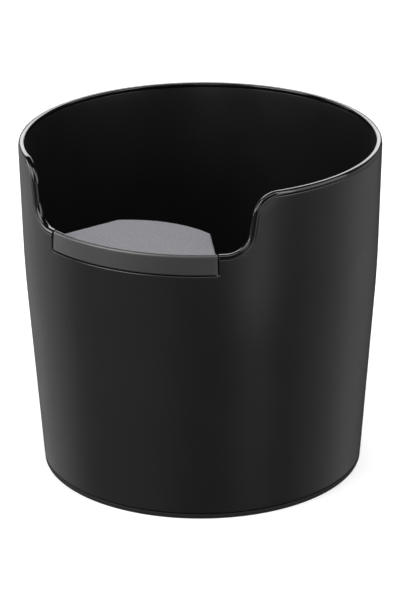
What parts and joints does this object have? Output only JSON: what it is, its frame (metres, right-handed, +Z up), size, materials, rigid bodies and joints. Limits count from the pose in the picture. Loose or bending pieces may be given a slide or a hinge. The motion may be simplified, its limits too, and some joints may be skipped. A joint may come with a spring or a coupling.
{
  "type": "espresso knock box",
  "caption": "Round knock box for spent coffee: a tapered black tub with a low front cut-out and a lift-out block that carries a soft grey knock pad.",
  "frame": {"origin": "centre of the base ring's resting face", "axes": "+Z up; the cut-out and the knock block face -Y; +X is to the right of the block as one faces it"},
  "size_m": [0.1749, 0.1742, 0.1656],
  "materials": {
    "tub_plastic": "satin moulded",
    "bead_gloss": "high gloss",
    "panel_plastic": "fine matte texture",
    "pad_rubber": "matte, fine grained",
    "carrier_plastic": "matte moulded",
    "inner_plastic": "matte moulded",
    "base_rubber": "matte",
    "buffer_rubber": "matte",
    "core_steel": "plain cut sheet",
    "screw_steel": "zinc plated"
  },
  "bodies": {
    "tub": {"tub_shell": "tub_plastic", "rim_bead": "bead_gloss", "block_bracket": "inner_plastic", "base_ring": "base_rubber", "base_plate": "inner_plastic", "base_screws": "screw_steel"},
    "knock_block": {"block_carrier": "carrier_plastic", "front_panel": "panel_plastic", "knock_pad": "pad_rubber", "core_plate": "core_steel", "pad_screws": "screw_steel", "panel_screws": "screw_steel", "support_buffers": "buffer_rubber"}
  },
  "joints": [
    {"name": "block_lift", "type": "slide", "parent": "tub", "child": "knock_block", "axis": [0, 0, 1], "range_m": [0, 0.066]}
  ]
}
